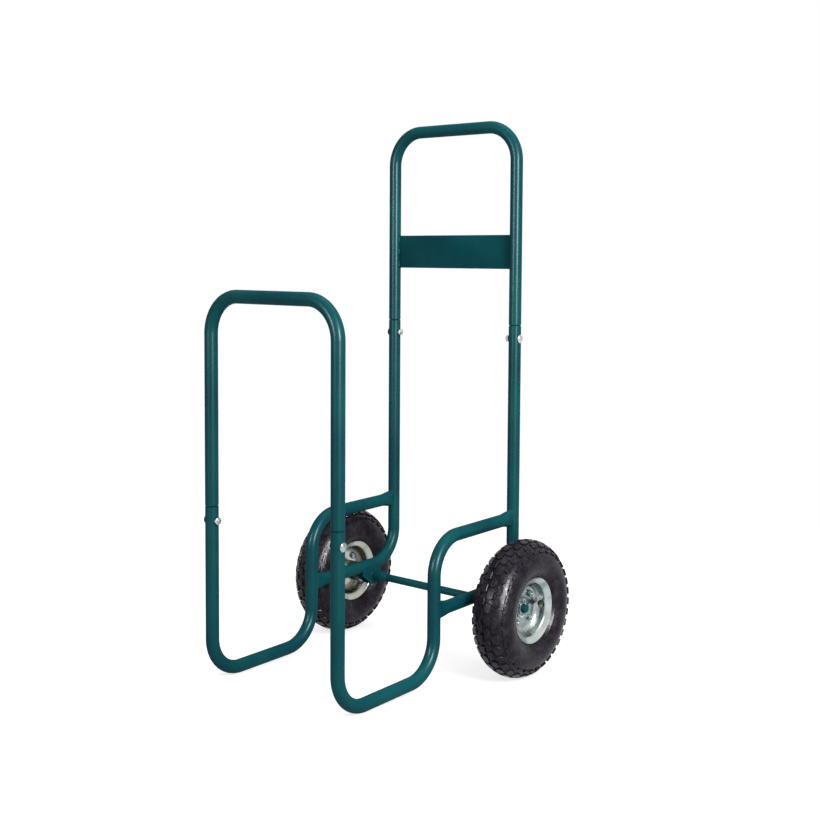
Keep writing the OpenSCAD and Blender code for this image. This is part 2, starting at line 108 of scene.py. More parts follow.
# Weld beads: half their width, their spans in millimetres up from the plate's low edge and back from
# the axle, and how the thickness varies along a bead
POST_BEAD_R = 1.7 * MM
PLATE_BEAD_R = 1.5 * MM
BRACKET_BEAD_R = 1.3 * MM
COLLAR_BEAD_R = 1.4 * MM
BEAD_OFFSET = 0.1 * MM
BEAD_PROUD = 0.5 * MM
PLATE_BEAD_SPANS = ((1.5, 15), (28, 42), (55, 68.5))
BRACKET_BEAD_SPAN = (-37, 19)
END_BEAD_BACK = 0.4 * MM
END_BEAD_POINTS = 90
COLLAR_BEAD_POINTS = 60
PLATE_BEAD_STEPS = 14
BRACKET_BEAD_STEPS = 50
BEAD_RIPPLE, BEAD_RIPPLE_PITCH = 0.13, 2.6 * MM
BEAD_UNEVEN, BEAD_GRAIN = 0.2, 160
BEAD_TIP, BEAD_TIP_GROWTH = 0.35, 0.4

# Axle, brackets, collars, washers and split pins
AXLE_BACK = 459 * MM
AXLE_R = 8 * MM
AXLE_DROP = 0.5 * MM
AXLE_H = LOW_RUN_H - TUBE_R - AXLE_DROP - AXLE_R
AXLE_HOLE_R = AXLE_R + 0.05 * MM
AXLE_END = 88 * MM
AXLE_EDGE = 1.0 * MM
BRACKET_W = 24 * MM
BRACKET_EDGE = 0.5 * MM
BRACKET_SHORT_EDGE = 2 * MM
BRACKET_MERGE = 1e-5
BRACKET_FLAT, BRACKET_FOLD = radians(0.5), radians(35)
COLLAR_R = 11 * MM
COLLAR_LEN = 22 * MM
COLLAR_TAPER = 15 * MM
COLLAR_TIP_WALL = 0.6 * MM
COLLAR_EDGE = 0.5 * MM
WASHER_T = 2 * MM
WASHER_EDGE = 0.35 * MM
INNER_WASHER_R = 14 * MM
OUTER_WASHER_R = 15 * MM
PIN_S = 7.4 * MM
PIN_R = 0.75 * MM
# Half the pin's wire, as distance across and height in millimetres, from its splayed tip to its eye
PIN_LEG = ((7.6, -13.4), (5.4, -11.6), (2.6, -9.8), (1.1, -8.6), (0.8, -6), (0.8, 0), (0.8, 7), (1.1, 8.8))
PIN_EYE_R, PIN_EYE_H = 4, 13
PIN_EYE_SPAN = (30, 170)
PIN_EYE_STEPS = 7

# Bolts and nuts, whose hexagons are cut by shares of their width
BOLT_R = 4 * MM
BOLT_PAST = 2 * MM
NUT_W = 3.2 * BOLT_R
NUT_H = 1.6 * BOLT_R
JOINT_DROP = 26 * MM
JOINT_TIP_EDGE = 0.6 * MM
HEAD_R = 8.5 * MM
HEAD_H = 4.5 * MM
HEAD_BRIM = 0.5 * MM
HEAD_FOOT = 0.15 * MM
HEAD_FOOT_IN = 0.3 * MM
DOME_STEPS = 8
RIM_BOLTS = 4
RIM_NUT_TWIST = 0.4
RIM_BOLT_OUT = 34 * MM
RIM_HEAD_H = 5.2 * MM
RIM_TIP_EDGE = 0.8 * MM
HEX_INSET = 0.1
HEX_CORNER = 0.52
HEX_CORNER_CUT = 0.045
HEX_FACE = 0.8
HEX_EDGE = 0.015
LEVEL, NEARLY_LEVEL = 0.99, 0.9
SHARP = 0.3

# Wheels: distances along the axle are from the rim's middle plane
WHEEL_OUT = 76 * MM
HUB_OUT = 3 * MM
HUB_BACK = 54 * MM
HUB_R = 20 * MM
HUB_STEP = 1 * MM
HUB_EDGE = 0.4 * MM
RING_PROUD = 0.5 * MM
BEARING_R = 17.5 * MM
BEARING_W = 11 * MM
SEAT_R = 53.5 * MM
FLANGE_R = 66 * MM
FLANGE_S = 30 * MM
RIM_T = 1.8 * MM
RIM_STEPS = 112
LIP_EDGE = 0.45 * MM
BARREL_R = SEAT_R - RIM_T / 2
# Half a rim's sheet, as radius and distance along the axle, and the fillets of its corners
RIM_SHEET = ((HUB_R + 0.05 * MM, RIM_T / 2), (BARREL_R - 9 * MM, RIM_T / 2), (BARREL_R - 2 * MM, 8.9 * MM),
             (BARREL_R, FLANGE_S - 8.5 * MM), (BARREL_R + 3 * MM, FLANGE_S - 6.5 * MM),
             (FLANGE_R - 3.2 * MM, FLANGE_S - 2.7 * MM), (FLANGE_R - 1.1 * MM, FLANGE_S - 0.95 * MM))
RIM_FILLETS = ((1, 3, 4.6 * MM), (3, 5, 1.6 * MM), (5, 6, 1.2 * MM))

# Valves, as radius and height in millimetres, and how far their edges are rounded
VALVE_S = 12 * MM
VALVE_HOLE_R = 7 * MM
VALVE_HOLE_LEN = 16 * MM
VALVE_TILT = radians(60)
VALVE_STEM = ((0, -10), (5.5, -10), (5.5, -7), (4.7, 6), (3.9, 7), (3.9, 16), (0, 16))
VALVE_CAP = ((0, 16), (4.4, 16), (4.4, 17.4), (4.1, 17.8), (4.1, 21.8), (3.4, 22.8), (0, 22.9))
STEM_EDGE, CAP_EDGE = 0.3 * MM, 0.2 * MM

# Tyres: an oval section between two feet in the rim, with rings moulded on its sidewalls
TYRE_R = 136 * MM
TYRE_W = 84 * MM
SECTION_MID = TYRE_R - TYRE_W / 2
SECTION_STEPS = 45
BLOCK_H = 3.3 * MM
BLOCK_ROOT = 1.2 * MM
BLOCK_EDGE = 0.8 * MM
CROWN_GAP = 0.1 * MM
CROWN_A = TYRE_R - BLOCK_H - CROWN_GAP - SECTION_MID
CROWN_B = TYRE_W / 2
CROWN_ARC = 40 * MM
TREAD_R = 132 * MM
TREAD_COUNT = 34
TYRE_STEPS = 4 * TREAD_COUNT
# Rows of blocks: distance from the middle, shift as a share of a pitch, and the block's outline
# along and across the tyre, in millimetres
BLOCK_ROWS = (
    (7.4, 0, ((-10, 0), (-6.5, -6.3), (6.5, -6.3), (10, 0), (6.5, 6.3), (-6.5, 6.3))),
    (22, 0.5, ((-9.6, -3), (-6, -6.4), (6, -6.4), (9.6, -3), (9.6, 3), (6, 6.4), (-6, 6.4), (-9.6, 3))),
    (38, 0, ((-7.5, -2.2), (7.5, -2.2), (7.5, 2.2), (-7.5, 2.2))),
)
# Moulded rings: radius, height and half width. They start at an angle round the section, rise
# outwards by a share of their height, and stand out sideways from a second angle on.
RIDGES = ((71 * MM, 0.8 * MM, 1.4 * MM), (77 * MM, 0.3 * MM, 0.8 * MM), (109 * MM, 0.35 * MM, 1.0 * MM))
RIDGE_FROM = 1
RIDGE_SIDE_FROM = 1.3
RIDGE_RISE = 0.3
# The foot on each side, as radius and distance along the axle
WALL_END_R = FLANGE_R + 1.2 * MM
FOOT_R = SEAT_R + 0.9 * MM
FOOT = ((FLANGE_R + 0.4 * MM, FLANGE_S - 1.2 * MM), (FOOT_R + 2 * MM, 21.9 * MM), (FOOT_R, 20.4 * MM),
        (FOOT_R, 17 * MM), (64 * MM, 17 * MM))

# The cart leans forward until its front bends and its tyres touch one level floor
BEND_Z = TUBE_R + BEND_R
BEND_OUT = BEND_R + TUBE_R
LEAN = (asin((TYRE_R - BEND_OUT) / hypot(AXLE_H - BEND_Z, AXLE_BACK - BEND_R))
        - atan2(AXLE_H - BEND_Z, AXLE_BACK - BEND_R))
GROUND = BEND_Z * cos(LEAN) + BEND_R * sin(LEAN) - BEND_OUT
FRONT_REACH = -HOOP_H * sin(LEAN) - TUBE_R
REAR_REACH = AXLE_BACK * cos(LEAN) - AXLE_H * sin(LEAN) + TYRE_R
MIDDLE_Y = (FRONT_REACH + REAR_REACH) / 2
STANCE = Matrix.Translation((0, -MIDDLE_Y, -GROUND)) @ Matrix.Rotation(LEAN, 4, "X")
WHEEL_SPOT = STANCE @ Vector((0, AXLE_BACK, AXLE_H))

# ---------------------------------------------------------------- camera
IMAGE_PX = 820
SENSOR_MM = 36
FOCAL_PX = 1190.1
HORIZON_PX = 330
EYE = Vector((1.50923, -1.80523, 0.70745))
YAW, PITCH, ROLL = radians(38.574), radians(0.758), radians(2.560)
NEAREST, FARTHEST = 0.01, 60


def make_camera():
    data = bpy.data.cameras.new("camera")
    camera = bpy.data.objects.new("camera", data)
    bpy.context.scene.collection.objects.link(camera)
    data.sensor_width = SENSOR_MM
    data.lens = FOCAL_PX * SENSOR_MM / IMAGE_PX
    data.shift_y = (HORIZON_PX - IMAGE_PX / 2) / IMAGE_PX
    data.clip_start, data.clip_end = NEAREST, FARTHEST
    heading = Matrix.Rotation(YAW, 4, "Z") @ Matrix.Rotation(pi / 2 - PITCH, 4, "X")
    turn = heading @ Matrix.Rotation(ROLL, 4, "Z")
    camera.matrix_world = Matrix.Translation(EYE) @ turn
    bpy.context.scene.camera = camera


make_camera()

# ---------------------------------------------------------------- materials
# Sockets of a mix node that mixes colours
MIX_SHARE, MIX_A, MIX_B, MIX_RESULT = 0, 6, 7, 2


class Paint:
    """A new material with one shader, and short calls for its nodes."""

    def __init__(self, name, color, rough, metal=0.0):
        self.material = bpy.data.materials.new(name)
        self.material.use_nodes = True
        self.tree = self.material.node_tree
        self.shader = self.tree.nodes["Principled BSDF"]
        self.set("Base Color", (*color, 1))
        self.set("Roughness", rough)
        self.set("Metallic", metal)
        self.place = self.node("ShaderNodeTexCoord").outputs["Object"]

    def set(self, socket, value):
        self.shader.inputs[socket].default_value = value

    def node(self, kind, **values):
        made = self.tree.nodes.new(kind)
        for key, value in values.items():
            setattr(made, key, value)
        return made

    def link(self, source, target):
        self.tree.links.new(source, target)

    def noise(self, scale, detail, rough=0.5):
        made = self.node("ShaderNodeTexNoise")
        made.inputs["Scale"].default_value = scale
        made.inputs["Detail"].default_value = detail
        made.inputs["Roughness"].default_value = rough
        self.link(self.place, made.inputs["Vector"])
        return made.outputs["Fac"]

    def reach(self, spot):
        """Distance from the line through spot that runs along X."""
        apart = self.node("ShaderNodeVectorMath", operation="SUBTRACT")
        apart.inputs[1].default_value = spot
        self.link(self.place, apart.inputs[0])
        across = self.node("ShaderNodeVectorMath", operation="MULTIPLY")
        across.inputs[1].default_value = (0, 1, 1)
        self.link(apart.outputs[0], across.inputs[0])
        length = self.node("ShaderNodeVectorMath", operation="LENGTH")
        self.link(across.outputs[0], length.inputs[0])
        return length.outputs["Value"]

    def ramp(self, source, stops):
        made = self.node("ShaderNodeValToRGB")
        elements = made.color_ramp.elements
        while len(elements) < len(stops):
            elements.new(0.5)
        for element, (spot, color) in zip(elements, stops):
            element.position = spot
            element.color = (*color, 1)
        self.link(source, made.inputs["Fac"])
        return made.outputs["Color"]

    def spread(self, source, low, high, start, end):
        """Takes the source's range from start to end to the one from low to high."""
        made = self.node("ShaderNodeMapRange")
        for socket, value in (("From Min", start), ("From Max", end), ("To Min", low), ("To Max", high)):
            made.inputs[socket].default_value = value
        self.link(source, made.inputs["Value"])
        return made.outputs["Result"]

    def mix(self, share, source, color):
        """Mixes a plain colour into the source."""
        made = self.node("ShaderNodeMix", data_type="RGBA")
        self.link(share, made.inputs[MIX_SHARE])
        self.link(source, made.inputs[MIX_A])
        made.inputs[MIX_B].default_value = (*color, 1)
        return made.outputs[MIX_RESULT]

    def bump(self, source, strength, distance, after=None):
        made = self.node("ShaderNodeBump")
        made.inputs["Strength"].default_value = strength
        made.inputs["Distance"].default_value = distance
        self.link(source, made.inputs["Height"])
        if after:
            self.link(after, made.inputs["Normal"])
        self.link(made.outputs["Normal"], self.shader.inputs["Normal"])
        return made.outputs["Normal"]

    def color_from(self, source):
        self.link(source, self.shader.inputs["Base Color"])

    def rough_from(self, source):
        self.link(source, self.shader.inputs["Roughness"])


ENAMEL_DARK = (0.002, 0.050, 0.066)
ENAMEL = (0.003, 0.068, 0.080)
ENAMEL_LIGHT = (0.005, 0.088, 0.094)
RUBBER = (0.012, 0.011, 0.014)
RUBBER_DARK = (0.005, 0.003, 0.007)
RUBBER_MIDDLE = (0.013, 0.010, 0.016)
RUBBER_DUSTY = (0.034, 0.030, 0.038)
BLACK = (0, 0, 0)


def enamel():
    """Teal powder enamel with a soft gloss, a faint orange peel and a drift of colour."""
    paint = Paint("enamel", ENAMEL, rough=0.3)
    paint.set("Specular IOR Level", 0.0)
    paint.set("Coat Weight", 0.11)
    paint.set("Coat Roughness", 0.31)
    drift = paint.noise(scale=9, detail=3)
    paint.color_from(paint.ramp(drift, [(0.3, ENAMEL_DARK), (0.5, ENAMEL), (0.72, ENAMEL_LIGHT)]))
    paint.rough_from(paint.spread(paint.noise(scale=60, detail=2), low=0.16, high=0.27, start=0.3, end=0.7))
    paint.bump(paint.noise(scale=90, detail=1), strength=0.02, distance=0.0006)
    return paint.material


def zinc(name, tint, dull_and_shade, light, rough, disc_shade, wall_shade):
    """Passivated zinc plate: cloudy patches and fine grain, with painted shade in the wheel's bowl."""
    paint = Paint(name, tint, rough, metal=1.0)
    cloud = paint.noise(scale=17, detail=3, rough=0.55)
    stain = paint.noise(scale=8, detail=1)
    base = paint.ramp(cloud, [(0.34, dull_and_shade), (0.5, tint), (0.68, light)])
    patchy = paint.mix(paint.spread(stain, low=0.0, high=0.6, start=0.48, end=0.7), base, dull_and_shade)
    # Painted shade: by distance from the axle, the disc and the bowl's wall are mixed towards the dull tint
    # by their shade shares, and the flange is left unshaded.
    across = paint.spread(paint.reach(WHEEL_SPOT), low=0.0, high=1.0, start=0.0, end=FLANGE_R)
    disc, wall = [(share,) * 3 for share in (disc_shade, wall_shade)]
    painted_bowl_shade = paint.ramp(across, [(0.52, disc), (0.62, wall), (0.78, wall), (0.84, BLACK)])
    paint.color_from(paint.mix(painted_bowl_shade, patchy, dull_and_shade))
    paint.rough_from(paint.spread(cloud, low=rough * 0.8, high=rough * 1.35, start=0.3, end=0.7))
    paint.bump(paint.noise(scale=900, detail=2), strength=0.04, distance=0.0002)
    return paint.material


# The shade shares are painted shade in each rim half's bowl: the outer half has the darker disc, and the
# inner half has the darker wall.
def bright_zinc():
    return zinc("zinc", tint=(0.47, 0.51, 0.50), dull_and_shade=(0.17, 0.22, 0.23), light=(0.56, 0.60, 0.57),
                rough=0.24, disc_shade=0.75, wall_shade=0.35)


def yellow_zinc():
    return zinc("zinc_yellow", tint=(0.42, 0.44, 0.39), dull_and_shade=(0.10, 0.10, 0.08), light=(0.50, 0.52, 0.48),
                rough=0.24, disc_shade=0.1, wall_shade=0.8)


def bearing_steel():
    paint = Paint("bearing_steel", (0.56, 0.57, 0.58), rough=0.22, metal=1.0)
    paint.rough_from(paint.spread(paint.noise(scale=220, detail=2), low=0.16, high=0.32, start=0.3, end=0.7))
    paint.bump(paint.noise(scale=1400, detail=1), strength=0.08, distance=0.0002)
    return paint.material


def tyre_rubber():
    """Near-black rubber with a violet cast, dusty in patches and pebbled all over."""
    paint = Paint("tyre_rubber", RUBBER, rough=0.4)
    paint.set("Specular IOR Level", 0.09)
    dust = paint.noise(scale=60, detail=5, rough=0.75)
    paint.color_from(paint.ramp(dust, [(0.36, RUBBER_DARK), (0.5, RUBBER_MIDDLE), (0.66, RUBBER_DUSTY)]))
    paint.rough_from(paint.spread(paint.noise(scale=150, detail=3), low=0.18, high=0.4, start=0.3, end=0.7))
    pebbles = paint.bump(paint.noise(scale=1100, detail=2), strength=0.3, distance=0.0005)
    paint.bump(paint.noise(scale=240, detail=3), strength=0.35, distance=0.0012, after=pebbles)
    return paint.material


def soft_rubber():
    paint = Paint("soft_rubber", (0.016, 0.016, 0.017), rough=0.5)
    paint.rough_from(paint.spread(paint.noise(scale=300, detail=2), low=0.4, high=0.65, start=0.3, end=0.7))
    paint.bump(paint.noise(scale=1500, detail=1), strength=0.15, distance=0.0003)
    return paint.material


FINISH = {
    "enamel": enamel(), "zinc": bright_zinc(), "zinc_yellow": yellow_zinc(),
    "bearing_steel": bearing_steel(), "tyre": tyre_rubber(), "soft_rubber": soft_rubber(),
}


def dress(obj, finish):
    obj.data.materials.clear()
    obj.data.materials.append(FINISH[finish])


SLOT_OF = {part["node"]: part["material_slot"] for part in frame["record"]["subparts"]}
for node_name, node_obj in frame["nodes"].items():
    dress(node_obj, SLOT_OF[node_name])

# ---------------------------------------------------------------- modelling helpers


def verts_of(geom):
    return [g for g in geom if isinstance(g, bmesh.types.BMVert)]


def edges_of(geom):
    return [g for g in geom if isinstance(g, bmesh.types.BMEdge)]


def on_scene(name, data):
    obj = bpy.data.objects.new(name, data)
    bpy.context.scene.collection.objects.link(obj)
    return obj


def plain_object(name, bm):
    mesh = bpy.data.meshes.new(name)
    bm.to_mesh(mesh)
    bm.free()
    return on_scene(name, mesh)


def make_piece(name, bm, finish, body, replaced=(), place=STANCE, sharp_deg=38):
    """Puts a mesh in its place, with its smooth shading, its finish, its body and what it stands for."""
    bmesh.ops.recalc_face_normals(bm, faces=bm.faces)
    bmesh.ops.transform(bm, matrix=place, verts=bm.verts)
    obj = plain_object(name, bm)
    obj.data.polygons.foreach_set("use_smooth", [True] * len(obj.data.polygons))
    obj.data.set_sharp_from_angle(angle=radians(sharp_deg))
    dress(obj, finish)
    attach(obj, body)
    if replaced:
        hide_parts(*replaced)


def to_bmesh(obj, *spare):
    """A bmesh of an object with its modifiers or thickness. The object and the spare ones are removed."""
    mesh = bpy.data.meshes.new_from_object(obj.evaluated_get(bpy.context.evaluated_depsgraph_get()))
    bm = bmesh.new()
    bm.from_mesh(mesh)
    bpy.data.meshes.remove(mesh)
    for used in (obj, *spare):
        bpy.data.objects.remove(used)
    return bm


def thick_curve(name, thickness, resolution):
    curve = bpy.data.curves.new(name, "CURVE")
    curve.dimensions = "3D"
    curve.bevel_depth = thickness
    curve.bevel_resolution = resolution
    return curve


def curve_to_bmesh(curve):
    """A bmesh of a thick curve, which is removed."""
    bm = to_bmesh(on_scene(curve.name, curve))
    bpy.data.curves.remove(curve)
    bmesh.ops.remove_doubles(bm, verts=bm.verts, dist=TINY)
    return bm


def side_plane(side):
    """Plane of a side frame: its X runs back along the cart, its Y up and its Z to the right."""
    basis = Matrix(((0, 0, 1, 0), (1, 0, 0, 0), (0, 1, 0, 0), (0, 0, 0, 1)))
    return STANCE @ Matrix.Translation((side * SIDE_X, 0, 0)) @ basis


def cross_plane(y):
    """Plane across the cart: its X runs to the right, its Y up and its Z to the front."""
    return STANCE @ Matrix.Translation((0, y, 0)) @ Matrix.Rotation(pi / 2, 4, "X")


def on_axle(side, out=WHEEL_OUT):
    """A place on the axle, at a distance outboard of the side frame: its Z points outboard."""
    spot = Matrix.Translation((side * (SIDE_X + out), AXLE_BACK, AXLE_H))
    return STANCE @ spot @ Matrix.Rotation(side * pi / 2, 4, "Y")


def smooth_step(t):
    return t * t * (3 - 2 * t)


def spaced(low, high, steps):
    return [low + (high - low) * i / steps for i in range(steps + 1)]


def full_circle(count):
    return [2 * pi * i / count for i in range(count)]


def chain(bm, corners, closed=False):
    """A row of edges through corners given as (radius, height). Returns its vertices."""
    verts = [bm.verts.new((r, 0, h)) for r, h in corners]
    for pair in zip(verts, verts[1:] + verts[:1] if closed else verts[1:]):
        bm.edges.new(pair)
    return verts


def turn_round(bm, steps):
    """Turns all of a bmesh about Z and joins the ends."""
    bmesh.ops.spin(bm, geom=[*bm.verts, *bm.edges], axis=(0, 0, 1), cent=(0, 0, 0), angle=2 * pi,
                   steps=steps, use_merge=True)
    bmesh.ops.remove_doubles(bm, verts=bm.verts, dist=TINY)


def lathe(corners, steps, closed=True, round_off=0.0, bm=None, place=None):
    """Turns a profile of (radius, height) about Z. Its corners can be rounded first."""
    part = bmesh.new()
    verts = chain(part, corners, closed)
    if round_off:
        inner = [v for v in verts if v.co.x > TINY and (closed or len(v.link_edges) == 2)]
        bmesh.ops.bevel(part, geom=inner, offset=round_off, affect="VERTICES", segments=2, profile=0.5,
                        material=-1)
    turn_round(part, steps)
    if place:
        bmesh.ops.transform(part, matrix=place, verts=part.verts)
    if bm is None:
        return part
    bmesh.ops.recalc_face_normals(part, faces=part.faces)
    return pour(part, bm)


def turned(node, profile, round_off, finish, body, place, steps=56):
    """A turned piece that stands for one node."""
    make_piece(node + "_turned", lathe(profile, steps, round_off=round_off), finish, body, [node], place)


def ring_profile(inner, outer, low, high):
    return [(inner, low), (outer, low), (outer, high), (inner, high)]


def pour(part, bm):
    """Adds one bmesh to another and frees it."""
    mesh = bpy.data.meshes.new("pour")
    part.to_mesh(mesh)
    part.free()
    bm.from_mesh(mesh)
    bpy.data.meshes.remove(mesh)
    return bm


class Tube:
    """A round tube in its own XY plane, grown from its start by straight runs and bends."""

    ROUND_STEPS = 56
    BEND_STEPS = 26

    def __init__(self, corners):
        self.bm = bmesh.new()
        spots = [Vector((*c, 0)) for c in corners]
        self.start = self.spot = spots[0]
        self.back = (spots[0] - spots[1]).normalized()
        self.heading = -self.back
        turn = self.heading.to_track_quat("Z", "Y").to_matrix().to_4x4()
        bmesh.ops.create_circle(self.bm, radius=TUBE_R, segments=self.ROUND_STEPS,
                                matrix=Matrix.Translation(self.spot) @ turn)
        self.first = self.ring = list(self.bm.edges)
        for i in range(len(spots) - 1):
            bends_here = i < len(spots) - 2
            length = (spots[i + 1] - spots[i]).length - BEND_R * ((i > 0) + bends_here)
            self.ring, _ = self.grow(self.ring, self.heading * length)
            self.spot = self.spot + self.heading * length
            if bends_here:
                ahead = spots[i + 2] - spots[i + 1]
                cross = self.heading.x * ahead.y - self.heading.y * ahead.x
                self.bend(pi / 2 if cross > 0 else -pi / 2)

    def grow(self, ring, step):
        """Extrudes a ring of edges by a step and returns the new ring and its vertices."""
        made = bmesh.ops.extrude_edge_only(self.bm, edges=ring)["geom"]
        verts = set(verts_of(made))
        bmesh.ops.translate(self.bm, verts=list(verts), vec=step)
        return [e for e in edges_of(made) if verts.issuperset(e.verts)], list(verts)

    def bend(self, swing):
        side = Vector((-self.heading.y, self.heading.x, 0)) * (1 if swing > 0 else -1)
        centre = self.spot + side * BEND_R
        verts = {v for e in self.ring for v in e.verts}
        last = bmesh.ops.spin(self.bm, geom=[*verts, *self.ring], cent=centre, axis=(0, 0, 1),
                              angle=swing, steps=self.BEND_STEPS)["geom_last"]
        turn = Matrix.Rotation(swing, 3, "Z")
        self.ring = edges_of(last)
        self.spot = centre + turn @ (self.spot - centre)
        self.heading = turn @ self.heading

    def taper(self, ring, spot, outward, steps):
        """Goes on from an end by steps of (distance out, radius) and caps it."""
        out, radius = 0, TUBE_R
        for distance, size in steps:
            ring, verts = self.grow(ring, outward * (distance - out))
            centre = spot + outward * distance
            bmesh.ops.scale(self.bm, vec=[size / radius] * 3, space=Matrix.Translation(-centre),
                            verts=verts)
            out, radius = distance, size
        bmesh.ops.holes_fill(self.bm, edges=ring, sides=0)

    def neck(self, ring, spot, outward):
        """The narrowed end that plugs into the tube below, seen as a groove at the seam."""
        self.taper(ring, spot, outward, [(NECK_LEAD + distance, radius) for distance, radius in NECK])

    def mouth(self, ring, spot, outward):
        """The cut end of a tube, with a broken edge and its wall."""
        self.taper(ring, spot, outward, [
            (EDGE, TUBE_R - EDGE), (EDGE, BORE_R + BORE_EDGE), (0, BORE_R), (-BORE_DEPTH, BORE_R)])

    def press(self, length):
        """Presses the end flat over a length and copes it on an upright tube of the same size."""
        along, start = self.heading.copy(), self.spot.copy()
        up = Vector((-along.y, along.x, 0))
        turns = {v: atan2((v.co - start).dot(up), v.co.z) for e in self.ring for v in e.verts}
        for step in range(1, PRESS_STEPS + 1):
            self.ring, verts = self.grow(self.ring, (0, 0, 0))
            fresh = set(verts)
            before = {v: next(e.other_vert(v) for e in v.link_edges if e.other_vert(v) not in fresh)
                      for v in verts}
            turns = {v: turns[before[v]] for v in verts}
            for vert, turn in turns.items():
                vert.co = start + pressed_point(turn, step / PRESS_STEPS, length, along, up)
        bmesh.ops.holes_fill(self.bm, edges=self.ring, sides=0)


def pressed_point(turn, t, length, along, up):
    """A point on a pressed end: turn goes round the section and t runs from round to flat."""
    flat = smooth_step(min(1, FLAT_PACE * t))
    half_t = TUBE_R + (FLAT_T / 2 - TUBE_R) * flat
    rise = flat * (FLAT_H - FLAT_T) / 2
    across = half_t * cos(turn)
    lift = half_t * sin(turn) + rise * max(-1, min(1, SIDE_PACE * sin(turn)))
    reach = t * (length - sqrt(max(0, TUBE_R ** 2 - across ** 2)) + COPE_DEPTH)
    return along * reach + up * lift + Vector((0, 0, across))


def bead_piece(name, paths):
    """Weld beads: closed or open rows of points, as a cord whose thickness ripples."""
    curve = thick_curve(name, thickness=1.0, resolution=2)
    for points, size, closed in paths:
        spline = curve.splines.new("POLY")
        spline.points.add(len(points) - 1)
        spline.use_cyclic_u = closed
        length = 0
        for i, (point, spot) in enumerate(zip(spline.points, points)):
            length += (spot - points[i - 1]).length if i else 0
            from_end = min(i, len(points) - 1 - i)
            end = 1 if closed else min(1, BEAD_TIP + from_end * BEAD_TIP_GROWTH)
            ripple = 1 + BEAD_RIPPLE * sin(2 * pi * length / BEAD_RIPPLE_PITCH)
            point.co = (*spot, 1)
            point.radius = size * (ripple + BEAD_UNEVEN * noise.noise(spot * BEAD_GRAIN)) * end
    bm = curve_to_bmesh(curve)
    bmesh.ops.holes_fill(bm, edges=[e for e in bm.edges if e.is_boundary], sides=0)
    make_piece(name, bm, "enamel", "frame", place=Matrix(), sharp_deg=60)


# ---------------------------------------------------------------- tube frame


def hoop(name, y, seam_h, top_h):
    foot = seam_h + NECK_H + NECK_LEAD
    tube = Tube([(-SIDE_X, foot), (-SIDE_X, top_h), (SIDE_X, top_h), (SIDE_X, foot)])
    tube.neck(tube.first, tube.start, tube.back)
    tube.neck(tube.ring, tube.spot, tube.heading)
    make_piece(name + "_smooth", tube.bm, "enamel", "frame", [name], cross_plane(y))


def side_tube(side):
    tube = Tube([(0, FRONT_SEAM_H - EDGE), (0, TUBE_R), (BASE_LEN, TUBE_R), (BASE_LEN, SHOULDER_H),
                 (POST_BACK - FLAT_LEN, SHOULDER_H)])
    tube.mouth(tube.first, tube.start, tube.back)
    tube.press(FLAT_LEN)
    node = "side_tube_" + SIDES[side]
    make_piece(node + "_smooth", tube.bm, "enamel", "frame", [node], side_plane(side))


def rear_post(side):
    tube = Tube([(POST_BACK, REAR_SEAM_H - EDGE), (POST_BACK, LOW_RUN_H), (BASE_LEN + FLAT_LEN, LOW_RUN_H)])
    tube.mouth(tube.first, tube.start, tube.back)
    tube.press(FLAT_LEN)
    node = "rear_post_" + SIDES[side]
    make_piece(node + "_smooth", tube.bm, "enamel", "frame", [node], side_plane(side))


def handle_plate():
    bm = bmesh.new()
    size = (2 * (SIDE_X - TUBE_R) + PLATE_OVERLAP, PLATE_H, PLATE_T)
    middle = Matrix.Translation((0, PLATE_LOW_H + PLATE_H / 2, 0))
    bmesh.ops.create_cube(bm, size=1, matrix=middle @ Matrix.Diagonal((*size, 1)))
    bmesh.ops.bevel(bm, geom=bm.edges[:], offset=PLATE_EDGE, affect="EDGES", segments=3, profile=0.5,
                    material=-1)
    make_piece("handle_plate_smooth", bm, "enamel", "frame", ["handle_plate"], cross_plane(POST_BACK))


def end_ring(start, along, side):
    """Points round a pressed end, where it meets the upright tube."""
    up = Vector((-along.y, along.x, 0))
    place = side_plane(side)
    ring = [start + pressed_point(a, 1, FLAT_LEN, along, up) for a in full_circle(END_BEAD_POINTS)]
    return [place @ (p - along * END_BEAD_BACK) for p in ring]


def frame_welds():
    paths = []
    back, front = Vector((1, 0, 0)), Vector((-1, 0, 0))
    for side in SIDES:
        shoulder = Vector((POST_BACK - FLAT_LEN, SHOULDER_H, 0))
        low_run = Vector((BASE_LEN + FLAT_LEN, LOW_RUN_H, 0))
        paths.append((end_ring(shoulder, back, side), POST_BEAD_R, True))
        paths.append((end_ring(low_run, front, side), POST_BEAD_R, True))
        # Short beads at the ends of the cross plate, on both faces
        place = cross_plane(POST_BACK)
        x = side * (SIDE_X - TUBE_R + BEAD_OFFSET)
        for face in (-1, 1):
            z = face * (PLATE_T / 2 + BEAD_PROUD)
            for low, high in PLATE_BEAD_SPANS:
                heights = spaced(low, high, PLATE_BEAD_STEPS)
                run = [place @ Vector((x, PLATE_LOW_H + h * MM, z)) for h in heights]
                paths.append((run, PLATE_BEAD_R, False))
        # Beads along the axle bracket's cheeks, under the low run
        place = side_plane(side)
        y = LOW_RUN_H - sqrt(TUBE_R ** 2 - (BRACKET_W / 2) ** 2)
        for cheek in (-1, 1):
            z = cheek * (BRACKET_W / 2 + BEAD_OFFSET)
            backs = spaced(*BRACKET_BEAD_SPAN, BRACKET_BEAD_STEPS)
            run = [place @ Vector((AXLE_BACK + b * MM, y, z)) for b in backs]
            paths.append((run, BRACKET_BEAD_R, False))
        # Ring where the collar meets the bracket
        place = on_axle(side, -BRACKET_W / 2 - BEAD_PROUD)
        ring = [place @ Vector((COLLAR_R * cos(a), COLLAR_R * sin(a), 0))
                for a in full_circle(COLLAR_BEAD_POINTS)]
        paths.append((ring, COLLAR_BEAD_R, True))
    bead_piece("weld_beads", paths)


# ---------------------------------------------------------------- axle


